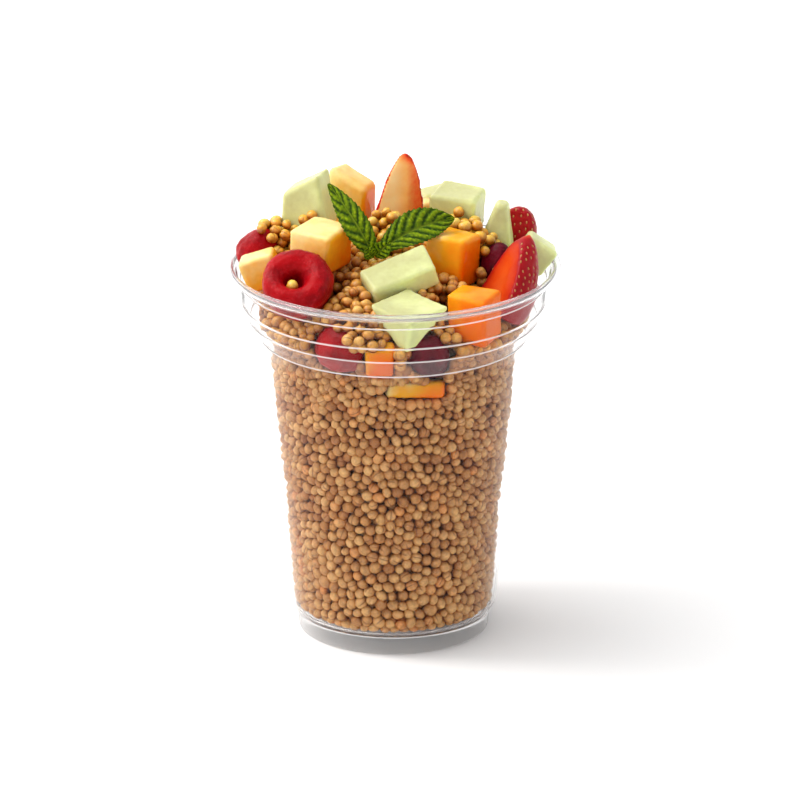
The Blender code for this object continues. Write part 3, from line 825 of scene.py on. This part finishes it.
def melon_finish(name, stops, glow, depth):
    """Wet melon flesh coloured by a painted light-and-shade value, with fine fibres and light that travels
    inside.
    """
    material, tree, shader = finish_nodes(name)
    where = tree.nodes.new("ShaderNodeTexCoord")
    painted_light_share = add_node(tree, "ShaderNodeAttribute", {"attribute_name": "painted_light_value"})
    slow = noise_over(tree, where.outputs["Object"], Scale=1 / (7 * MM), Detail=2.0)
    drift = add_node(tree, "ShaderNodeMapRange", From_Min=0.3, From_Max=0.7, To_Min=-0.12, To_Max=0.12)
    tree.links.new(slow, drift.inputs["Value"])
    total = add_node(tree, "ShaderNodeMath", {"operation": "ADD"})
    tree.links.new(painted_light_share.outputs["Fac"], total.inputs[0])
    tree.links.new(drift.outputs[0], total.inputs[1])
    flesh = ramp_node(tree, total.outputs[0], stops)
    fibre = noise_over(tree, where.outputs["Object"], Scale=1 / (1.2 * MM), Detail=4.0, Roughness=0.6)
    streaks = ramp_node(tree, fibre, [(0.3, (0.93, 0.92, 0.9)), (0.7, (1.0, 1.0, 1.0))])
    tree.links.new(blended(tree, 1.0, flesh, streaks, "MULTIPLY"), shader.inputs["Base Color"])
    bumped(tree, shader, fibre, 0.15, 0.2)
    shader.inputs["IOR"].default_value = 1.33
    shader.inputs["Specular IOR Level"].default_value = 0.28
    soft_flesh(shader, 0.22, 0.4, glow, depth)
    return material


honeydew_flesh = melon_finish("honeydew_flesh", [(0.15, (0.86, 0.96, 0.42)), (0.5, (0.78, 0.84, 0.40)),
                                                 (0.85, (0.57, 0.57, 0.27))], (1.0, 1.0, 0.35), 2.0)
cantaloupe_flesh = melon_finish("cantaloupe_flesh", [(0.1, (0.94, 0.17, 0.0)), (0.5, (0.94, 0.42, 0.015)),
                                                     (0.9, (0.95, 0.78, 0.34))], (1.2, 0.45, 0.08), 2.0)
# Painted light and shade on the melon: each point's value grows towards the light's side and as its face
# turns to the light, shifted per piece. Cantaloupe is painted pale where lit and deep orange away from it;
# honeydew is painted paler away from the light, lifting its shaded faces.
PAINTED_LIGHT_SIDE = Vector((-0.60, -0.15, 0.78))
PALENESS = {"cantaloupe_right": -0.25, "cantaloupe_front_right": -0.5, "cantaloupe_front": -0.3,
            "cantaloupe_low": -0.1}
MELON_MESH_STEP = 0.49
MELON_ROUNDING = 1
for seed, name in enumerate(fruit_names):
    kind = name.split("_")[0]
    if kind not in ("honeydew", "cantaloupe"):
        continue
    piece = refined(name, MELON_MESH_STEP, MELON_ROUNDING, name + "_piece")
    roughen(piece, 0.30, 8.0, seed)
    roughen(piece, 0.05, 1.6, seed + 40)
    along = [vertex.co.dot(PAINTED_LIGHT_SIDE) for vertex in piece.data.vertices]
    low, high = min(along), max(along)
    painted_light_share = [0.45 * (place - low) / (high - low) + 0.55 * (0.5 + 0.5 * entry.vector.dot(PAINTED_LIGHT_SIDE))
            + PALENESS.get(name, 0.0) for place, entry in zip(along, piece.data.vertex_normals)]
    keep_values(piece.data, "painted_light_value", painted_light_share)
    piece.data.materials.append(honeydew_flesh if kind == "honeydew" else cantaloupe_flesh)
    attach(piece, "root")
    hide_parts(name)


# ------------------------------------------------------------------ strawberries
# Ripe strawberries cut lengthwise: thin glossy red skin, orange-red flesh under it that pales
# to the middle, and small seeds set into the skin.

STRAWBERRIES = {
    "strawberry_back": dict(crown=(1.9, 17.5, 113.5), tip=(3.6, 18.5, 139.4), radius=9.2, blunt=0.6,
                            belly=0.15),
    "strawberry_far_right": dict(crown=(32.4, 17.2, 107.8), tip=(38.8, 19.6, 121.9), radius=7.1, blunt=0.5,
                                 belly=0.9),
    "strawberry_right": dict(crown=(29.7, -15.2, 100), tip=(39.8, -6.0, 122.6), radius=9.3, blunt=0.72,
                             belly=0.9),
}
STRAWBERRY_MESH_STEP = 0.45
STRAWBERRY_ROUNDING = 3
SEEDS_ABOVE = 108.0
SEED_SPACING = 1.9
SEED_SIZE = (0.26, 0.46, 0.2)
SEED_DIMPLE = 0.28


def strawberry_profile(along, blunt, belly):
    """Radius of a strawberry, as a share of its widest, from crown to tip."""
    shoulder = 0.78 + 0.22 * np.minimum(1.0, along / 0.2)
    return shoulder * (1 - along) ** blunt * (1 + belly * along) ** 0.8


def strawberry_finish(name, heart, flesh, rim, skin):
    """Skin and cut flesh in one: a stored value decides the colour, mostly how near a point is to the skin;
    on the back strawberry's cut face it is painted light and shade.
    """
    material, tree, shader = finish_nodes(name)
    near = add_node(tree, "ShaderNodeAttribute", {"attribute_name": "skin_nearness_and_painted_light"})
    where = tree.nodes.new("ShaderNodeTexCoord")
    fibre = noise_over(tree, where.outputs["Object"], Scale=1 / (1.5 * MM), Detail=5.0, Roughness=0.6)
    wobble = add_node(tree, "ShaderNodeMapRange", From_Min=0.3, From_Max=0.7, To_Min=-0.05, To_Max=0.03)
    tree.links.new(fibre, wobble.inputs["Value"])
    total = add_node(tree, "ShaderNodeMath", {"operation": "ADD"})
    tree.links.new(near.outputs["Fac"], total.inputs[0])
    tree.links.new(wobble.outputs[0], total.inputs[1])
    colour = ramp_node(tree, total.outputs[0], [(0.0, heart), (0.5, flesh), (0.78, rim), (0.9, skin)])
    tree.links.new(colour, shader.inputs["Base Color"])
    bumped(tree, shader, fibre, 0.25, 0.2)
    shader.inputs["IOR"].default_value = 1.33
    shader.inputs["Specular IOR Level"].default_value = 0.35
    soft_flesh(shader, 0.32, 0.35, (1.2, 0.35, 0.2), 1.6)
    return material


berry_flesh = strawberry_finish("strawberry_flesh", (0.74, 0.16, 0.02), (0.62, 0.058, 0.003),
                                (0.52, 0.025, 0.004), (0.36, 0.003, 0.008))
# The back strawberry's flesh is paler than the others: partly its own colour, partly painted light for its
# dim cut face.
pale_berry_flesh = strawberry_finish("pale_strawberry_flesh", (1.0, 0.80, 0.42), (1.0, 0.50, 0.14),
                                     (0.90, 0.12, 0.02), (0.58, 0.012, 0.008))
seed_finish, _, seed_shader = finish_nodes("strawberry_seed")
seed_shader.inputs["Base Color"].default_value = (0.50, 0.20, 0.05, 1.0)
seed_shader.inputs["Roughness"].default_value = 0.35


def seeded(piece, nearness, skip_below):
    """Presses seeds into the skin: small dimples, each holding one flattened seed."""
    mesh = piece.data
    spots = []
    for vertex, near in zip(mesh.vertices, nearness):
        if near > 0.97 and all((vertex.co - spot).length > SEED_SPACING * MM for spot, _ in spots):
            if vertex.co.z > skip_below * MM:
                spots.append((vertex.co.copy(), vertex.normal.copy()))
    shifts = []
    for vertex in mesh.vertices:
        nearest = min(((vertex.co - spot).length for spot, _ in spots), default=1.0) / MM
        shifts.append(vertex.normal * (-SEED_DIMPLE * math.exp(-(nearest / 0.55) ** 2) * MM))
    for vertex, shift in zip(mesh.vertices, shifts):
        vertex.co += shift
    bm = bmesh.new()
    bm.from_mesh(mesh)
    for spot, normal in spots:
        made = bmesh.ops.create_icosphere(bm, subdivisions=2, radius=MM)["verts"]
        bmesh.ops.scale(bm, vec=SEED_SIZE, verts=made)
        turn = normal.to_track_quat("Z", "Y").to_matrix().to_4x4()
        bmesh.ops.transform(bm, matrix=Matrix.Translation(spot - normal * 0.2 * MM) @ turn, verts=made)
        for face in {face for vertex in made for face in vertex.link_faces}:
            face.material_index = 1
            face.smooth = True
    bm.to_mesh(mesh)
    bm.free()


for name, sizes in STRAWBERRIES.items():
    piece = refined(name, STRAWBERRY_MESH_STEP, STRAWBERRY_ROUNDING, name + "_piece")
    crown = Vector(sizes["crown"])
    axis = Vector(sizes["tip"]) - crown
    length = axis.length
    axis.normalize()
    roughen(piece, 0.35, 5.0, len(name))
    nearness = []
    for vertex in piece.data.vertices:
        off = vertex.co / MM - crown
        along = min(0.97, max(0.0, off.dot(axis) / length))
        out = (off - axis * off.dot(axis)).length
        full = float(strawberry_profile(along, sizes["blunt"], sizes["belly"])) * sizes["radius"]
        near = 1.0 if name == "strawberry_far_right" else min(1.0, out / max(full, 0.5))
        # On the back strawberry's cut face the colour runs from pale on the left, towards the light, to deep
        # on the right: painted light and shade.
        if name == "strawberry_back" and near < 0.88:
            towards_right = min(1.0, max(-0.8, (off.x - 1.0) / 3.4))
            near = 0.44 + 0.32 * towards_right + 3.3 * max(0.0, along - 0.85)
        nearness.append(near)
    keep_values(piece.data, "skin_nearness_and_painted_light", nearness)
    seeded(piece, nearness, SEEDS_ABOVE)
    piece.data.materials.append(pale_berry_flesh if name == "strawberry_back" else berry_flesh)
    piece.data.materials.append(seed_finish)
    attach(piece, "root")
    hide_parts(name)


# ------------------------------------------------------------------ dark berries
# Soft dark red berries; one is hulled and lies on its side so that its hollow shows. Their
# skins are velvety, with fine pale glints painted into their colour as highlights.

def berry_finish(name, shade, skin, painted_glint_colour):
    """Velvety berry skin: deep red with fine paler glints painted into the colour as highlights."""
    material, tree, shader = finish_nodes(name)
    where = tree.nodes.new("ShaderNodeTexCoord")
    fine = noise_over(tree, where.outputs["Object"], Scale=1 / (0.7 * MM), Detail=4.0, Roughness=0.7)
    slow = noise_over(tree, where.outputs["Object"], Scale=1 / (6 * MM), Detail=2.0)
    base = ramp_node(tree, slow, [(0.38, shade), (0.6, skin)])
    # Fine painted highlights: paler glints laid by fine noise.
    glint = ramp_node(tree, fine, [(0.54, (0, 0, 0)), (0.74, (0.7, 0.7, 0.7))])
    tree.links.new(blended(tree, glint, base, painted_glint_colour), shader.inputs["Base Color"])
    bumped(tree, shader, fine, 0.5, 0.35)
    shader.inputs["Specular IOR Level"].default_value = 0.1
    soft_flesh(shader, 0.3, 0.25, (1.2, 0.2, 0.2), 1.2)
    return material


BERRY_MESH_STEP = 0.44
BERRY_ROUNDING = 4
red_berry = berry_finish("red_berry_skin", (0.28, 0.001, 0.004), (0.42, 0.001, 0.004), (0.62, 0.025, 0.04))
purple_berry = berry_finish("purple_berry_skin", (0.07, 0.001, 0.010), (0.16, 0.003, 0.014),
                            (0.28, 0.03, 0.05))
BERRY_SKINS = {"berry_left": red_berry, "berry_hulled": red_berry, "berry_front_left": red_berry,
               "berry_right": purple_berry, "berry_front_right": purple_berry}
for seed, (name, skin) in enumerate(BERRY_SKINS.items()):
    piece = refined(name, BERRY_MESH_STEP, BERRY_ROUNDING, name + "_piece")
    roughen(piece, 0.6, 5.0, seed)
    roughen(piece, 0.14, 1.0, seed + 20)
    piece.data.materials.append(skin)
    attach(piece, "root")
    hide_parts(name)


# ------------------------------------------------------------------ mint
# A sprig of fresh mint: two large toothed leaves and two small ones that grow out of one bud.
# The veins are sunk, and the leaf stands up in small quilted cushions between them.

LEAVES = [
    dict(base=(-5.8, -9.0, 116.9), tip=(-18.9, 1.0, 135.4), arch=(1.5, -4.6, 1.6), width=7.4,
         face=(-0.3, -1.0, 0.4), veins=7, widest=0.78),
    dict(base=(-5.3, -9.0, 116.9), tip=(17.6, 2.0, 124.4), arch=(-1.0, -1.6, 4.8), width=10.4,
         face=(-0.1, -0.8, 0.7), veins=8, widest=1.2),
    dict(base=(-5.3, -9.3, 116.8), tip=(-1.0, -12.0, 122.2), arch=(0.0, -0.6, 0.0), width=4.6,
         face=(0.0, -1.0, 0.3), veins=5, widest=0.9),
    dict(base=(-5.8, -9.4, 116.8), tip=(-8.1, -13.2, 120.6), arch=(0.0, -0.6, 0.0), width=3.8,
         face=(0.0, -1.0, 0.3), veins=5, widest=0.9),
]
LEAF_STEPS = 96
LEAF_ACROSS = 36
LEAF_THICKNESS = 0.35
CUSHION_SIZE = 1.1
CUSHION_RISE = 0.42
TOOTH_DEPTH = 0.11
TEETH_PER_VEIN = 2.2


def mint_leaf(name, base, tip, arch, width, face, veins, widest):
    """One leaf: a folded, quilted blade with a toothed edge, and a back sheet a little below it that thins
    to the edge.
    """
    base, tip = Vector(base), Vector(tip)
    middle = (base + tip) / 2 + Vector(arch)
    length = (tip - base).length
    points, vein_marks, relief = [], [], []
    for side_of_leaf in (1, -1):
        for step in range(LEAF_STEPS + 1):
            t = step / LEAF_STEPS
            centre = base * (1 - t) ** 2 + middle * 2 * t * (1 - t) + tip * t ** 2
            along = ((middle - base) * (1 - t) + (tip - middle) * t).normalized()
            side = along.cross(Vector(face)).normalized()
            lift = side.cross(along).normalized()
            half = 0.3 + width / 2 * math.sin(math.pi * t ** widest) ** 0.8
            tooth = (t * veins * TEETH_PER_VEIN) % 1.0
            half *= 1 + TOOTH_DEPTH * (tooth - 0.5) * min(1.0, 6 * t) * min(1.0, 8 * (1 - t))
            for column in range(LEAF_ACROSS + 1):
                u = 2 * column / LEAF_ACROSS - 1
                reach = abs(u)
                phase = (t - 0.20 * reach ** 1.3) * veins
                rib = math.exp(-((phase - round(phase)) / 0.13) ** 2) * min(1.0, 5 * reach)
                midrib = math.exp(-(reach / 0.05) ** 2)
                quilt = 0.5 * (1 - math.cos(2 * math.pi * phase)) * math.sin(math.pi * min(1, reach)) ** 0.6
                spot = Vector((u * half / CUSHION_SIZE, t * length / CUSHION_SIZE, len(name)))
                cell = noise.voronoi(spot)[0]
                cushion = min(1.0, cell[1] - cell[0]) * min(1.0, 6 * reach) * min(1.0, 6 * (1 - reach))
                height = 0.25 * half * reach + 0.055 * width * quilt - 0.03 * width * midrib
                height += CUSHION_RISE * cushion
                if side_of_leaf < 0:
                    height -= LEAF_THICKNESS * (1 - reach ** 4)
                points.append((centre + side * half * u + lift * height) * MM)
                vein_marks.append(midrib)
                # This value carries painted light and shade for the finish: light on the cushions, dark in
                # the vein grooves.
                relief.append(0.55 * quilt + 0.45 * min(1.0, 1.6 * (cell[1] - cell[0])) - 0.25 * rib)
    across = LEAF_ACROSS + 1
    layer = across * (LEAF_STEPS + 1)
    faces = []
    for step in range(LEAF_STEPS):
        for column in range(LEAF_ACROSS):
            a = step * across + column
            faces.append((a, a + 1, a + across + 1, a + across))
            faces.append((layer + a, layer + a + across, layer + a + across + 1, layer + a + 1))
    mesh = bpy.data.meshes.new(name)
    mesh.from_pydata([tuple(point) for point in points], [], faces)
    keep_values(mesh, "vein", vein_marks)
    keep_values(mesh, "cushion", relief)
    bm = bmesh.new()
    bm.from_mesh(mesh)
    bmesh.ops.remove_doubles(bm, verts=bm.verts[:], dist=0.02 * MM)
    bmesh.ops.recalc_face_normals(bm, faces=bm.faces[:])
    bm.to_mesh(mesh)
    bm.free()
    mesh.shade_smooth()
    return link_new(name, mesh)


mint_green, mint_tree, mint_shader = finish_nodes("mint_green")
vein = add_node(mint_tree, "ShaderNodeAttribute", {"attribute_name": "vein"})
leaf_place = mint_tree.nodes.new("ShaderNodeTexCoord")
leaf_noise = noise_over(mint_tree, leaf_place.outputs["Object"], Scale=1 / (0.9 * MM), Detail=5.0,
                        Roughness=0.7)
# The blade is painted dark in the sunk veins and grooves and light on the raised cushions: painted shade and
# light over the relief.
cushions = add_node(mint_tree, "ShaderNodeAttribute", {"attribute_name": "cushion"})
blade = ramp_node(mint_tree, cushions.outputs["Fac"],
                  [(0.0, (0.026, 0.062, 0.0004)), (0.4, (0.125, 0.205, 0.0006)),
                   (0.9, (0.310, 0.415, 0.004))])
speckle = ramp_node(mint_tree, leaf_noise, [(0.3, (0.6, 0.6, 0.6)), (0.7, (1.2, 1.2, 1.2))])
blade = blended(mint_tree, 1.0, blade, speckle, "MULTIPLY")
mint_tree.links.new(blended(mint_tree, vein.outputs["Fac"], blade, (0.22, 0.30, 0.02)),
                    mint_shader.inputs["Base Color"])
bumped(mint_tree, mint_shader, leaf_noise, 0.4, 0.3)
mint_shader.inputs["Specular IOR Level"].default_value = 0.12
soft_flesh(mint_shader, 0.55, 0.15, (0.4, 1.0, 0.2), 0.5)
for index, sizes in enumerate(LEAVES):
    leaf = mint_leaf("mint_leaf_%d" % (index + 1), **sizes)
    leaf.data.materials.append(mint_green)
    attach(leaf, "root")
    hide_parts("mint_sprig")
